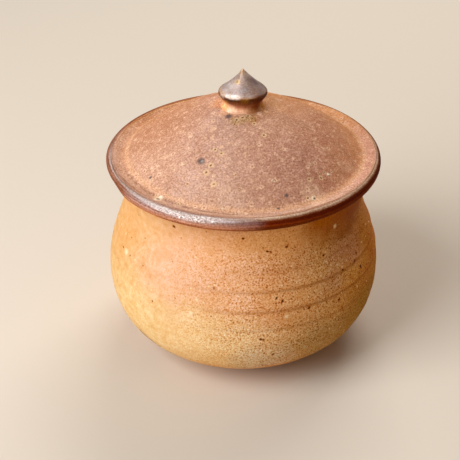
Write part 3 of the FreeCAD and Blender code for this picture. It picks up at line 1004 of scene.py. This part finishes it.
# Tints upwards, by the rise above the knob's foot: the dark underside is partly burnt clay and partly painted
# shade
KNOB_TINTS_AND_SHADE_UP = [
    (0.0, "D8A286"), (0.9, "E2AE8C"), (2.2, "C08468"), (3.8, "905838"), (5.0, "6E3E1E"), (5.6, "4E2A10"),
    (6.1, "6A3E18"), (6.45, "C09A7C"), (6.9, "BCA8A4"), (8.2, "A89A9A"), (11.5, "968584"),
    (14.5, "BEA48C"),
]

# Place, reach, tint and strength
KNOB_FLASHES_AND_PAINTED_LIGHT = [
    # Partly ochre ash and partly painted light from the left lamp, at the foot's left
    ((-8.0, -4.0, KNOB_FOOT + 1.0), 5.5, "F6BC84", 0.9),
    # A painted highlight at the foot's front left
    ((-4.6, -7.6, KNOB_FOOT + 0.4), 3.5, "FFE2C8", 0.9),
    # Painted shade at the foot's right front
    ((4.6, -7.4, KNOB_FOOT + 0.8), 4.0, "9A5608", 0.8),
    # Painted light that lifts the knob's own shadow at the foot's right
    ((8.4, -2.6, KNOB_FOOT + 0.8), 4.5, "D08E3C", 0.9),
    # The next two: painted shade on the right of the waist and under the edge, partly burnt clay
    ((5.6, -5.6, KNOB_FOOT + 2.4), 2.8, "9A4E00", 0.8),
    ((6.8, -7.0, KNOB_FOOT + 5.0), 4.6, "642800", 0.9),
    ((1.0, -9.2, KNOB_FOOT + 5.3), 2.4, "8E5E14", 0.55),
    # A painted shade line under the edge's highlight
    ((-4.6, -8.6, KNOB_FOOT + 5.5), 1.5, "2A1C1C", 0.4),
    # Painted light on the flank's left
    ((-8.4, -5.4, KNOB_FOOT + 8.4), 4.0, "E6D4CC", 0.8),
    # The next three: painted shade on the flank's right, away from the lamp
    ((5.2, -5.6, KNOB_FOOT + 9.6), 5.0, "866656", 0.7),
    ((8.6, -4.8, KNOB_FOOT + 8.2), 4.2, "66504A", 0.85),
    ((5.0, -1.5, KNOB_FOOT + 10.6), 3.6, "5C4444", 0.7),
    ((0.4, -4.6, KNOB_FOOT + 11.4), 2.6, "C8B0A2", 0.45),
    # The next two: painted reflections of dark surroundings along the flank's sides
    ((9.6, 1.5, KNOB_FOOT + 8.0), 7.0, "5A3828", 0.8),
    ((-9.8, 4.0, KNOB_FOOT + 8.0), 6.0, "6E4C40", 0.7),
    # Painted light high on the flank's left
    ((-5.0, -3.5, KNOB_FOOT + 11.5), 5.0, "E2D2CC", 0.75),
]

# A painted highlight: the light that the knob's edge catches, in flatter patches
KNOB_EDGE_PAINTED_HIGHLIGHT = [
    ((-5.5, -6.9, KNOB_FOOT + 6.75), 2.2, "F4ECEA", 0.8),
    ((-4.2, -7.8, KNOB_FOOT + 6.75), 2.6, "F8F2F2", 0.8),
    ((-2.6, -8.5, KNOB_FOOT + 6.75), 2.4, "F4ECEA", 0.85),
]


def ash_glazed_knob():
    """Wood-ash skin over iron clay: violet-grey and softly metallic, and dark under the edge, partly burnt
    and partly painted shade, with painted light and shade on the flank.
    """
    material, tree = blank("ash_glazed_knob")
    place = place_on(tree)
    ragged = strayed(tree, place, size=2.2, reach=0.3)
    axes = add(tree, "SeparateXYZ", {0: ragged}).node.outputs
    rise = add(tree, "Math", {0: axes[2], 1: KNOB_FOOT}, operation="SUBTRACT")
    colour = shaded(tree, rise, KNOB_TINTS_AND_SHADE_UP)
    colour = with_flashes_and_painted_light(tree, colour, ragged, flatten=1, flashes=KNOB_FLASHES_AND_PAINTED_LIGHT)
    colour = with_flashes_and_painted_light(tree, colour, ragged, flatten=2.2, flashes=KNOB_EDGE_PAINTED_HIGHLIGHT)

    # Fine pale and dark mottling, and a cream-ringed pit on the flank
    grain = add(tree, "TexNoise", {"Vector": place, "Scale": 1 / KNOB_GRAIN, "Detail": 2.0})
    run_down = add(tree, "VectorMath", {0: place, 1: (1, 1, 0.2)}, operation="MULTIPLY")
    streaks = add(tree, "TexNoise", {"Vector": run_down, "Scale": 1 / KNOB_STREAK, "Detail": 2.0})
    value = add(tree, "Math", {0: grain, 1: 1.1, 2: -0.08}, operation="MULTIPLY_ADD")
    value = add(tree, "Math", {0: streaks, 1: 1.0, 2: value}, operation="MULTIPLY_ADD")
    colour = ironed(tree, colour, value, KNOB_IRON)
    pale = specked(tree, place, spacing=1.6, size=0.8, share=0.25)
    pale = add(tree, "Math", {0: pale, 1: 0.35}, operation="MULTIPLY")
    wobbly = strayed(tree, place, size=0.9, reach=0.3)
    pit = nearest(tree, wobbly, [KNOB_PIT])
    halo = add(tree, "MapRange", {0: pit, 1: 1.2, 2: 0.6, 3: 0.0, 4: 0.6})
    hole = add(tree, "MapRange", {0: pit, 1: 0.6, 2: 0.2, 3: 0.0, 4: 0.7})
    colour = covered(tree, colour, [(pale, "D8BCA8"), (halo, "D9BE8C"), (hole, "8A6A38")])
    shiny = add(tree, "MapRange", {0: rise, 1: 6.3, 2: 6.8, 3: 0.0, 4: 0.45})
    dull = add(tree, "MapRange", {0: shiny, 1: 0.0, 2: 0.45, 3: 0.6, 4: 0.4})
    bumped = add(tree, "Bump", {"Height": grain, "Distance": 0.15 * MM, "Strength": 1.0})
    surfaced(tree, colour, dull, bumped, shine=0.1, metallic=shiny)
    return material


for piece, finish in (
    (pot, fired_stoneware_pot),
    (plate, fired_stoneware_lid),
    (ring, bare_stoneware_ring),
    (knob, ash_glazed_knob),
):
    piece.data.materials.append(finish())


# Floor, light and camera

FAR_WALL = "DCD2C6"
FLOOR_SIZE = 6.0
CAMERA_PLACE = (0, -0.3517, 0.2716)
CAMERA_TURN_DEG = (57.26, 0.53, 0.54)
LENS_MM = 79.1
SENSOR_WIDTH_MM = 36.0

bpy.ops.object.select_all(action="DESELECT")
bpy.ops.mesh.primitive_plane_add(size=FLOOR_SIZE)
floor = bpy.context.object
floor.name = "floor"
floor.data.materials.append(matt_card("matt_card_pale", "DAD4CC", thrown_light="DCC09A", far_off=FAR_WALL))

camera_data = bpy.data.cameras.new("camera")
camera_data.sensor_width = SENSOR_WIDTH_MM
camera_data.lens = LENS_MM
camera = bpy.data.objects.new("camera", camera_data)
camera.location = CAMERA_PLACE
camera.rotation_euler = [math.radians(angle) for angle in CAMERA_TURN_DEG]
bpy.context.scene.collection.objects.link(camera)
bpy.context.scene.camera = camera


def soft_light(name, azimuth_deg, elevation_deg, distance, width, height, power, colour):
    """A soft light that faces the middle of the jar. Azimuth 0 is the camera's side, and 90 the right."""
    azimuth, elevation = math.radians(azimuth_deg), math.radians(elevation_deg)
    away = Vector((
        math.sin(azimuth) * math.cos(elevation),
        -math.cos(azimuth) * math.cos(elevation),
        math.sin(elevation),
    ))
    lamp = bpy.data.lights.new(name, "AREA")
    lamp.shape = "RECTANGLE"
    lamp.size = width
    lamp.size_y = height
    lamp.energy = power
    lamp.color = linear(colour)[:3]
    light = bpy.data.objects.new(name, lamp)
    light.location = (cad_low + cad_high) / 2 + away * distance
    light.rotation_euler = away.to_track_quat("Z", "Y").to_euler()
    bpy.context.scene.collection.objects.link(light)


soft_light("window_left", -55, 37, distance=0.9, width=0.55, height=0.75, power=9.0, colour="FFFBF5")
soft_light("window_behind", 162, 46, distance=1.1, width=0.7, height=0.7, power=7.5, colour="FFF6EA")

scene = bpy.context.scene
scene.view_settings.view_transform = "Standard"

world = bpy.data.worlds.new("studio")
scene.world = world
world.use_nodes = True
studio = world.node_tree
studio.nodes.clear()
room = add(studio, "Mix", {
    0: seen(studio), 6: linear("786B5E"), 7: linear(FAR_WALL),
}, data_type="RGBA", output=2)
walls = add(studio, "Background", {"Color": room, "Strength": 1.0})
add(studio, "OutputWorld", {"Surface": walls})
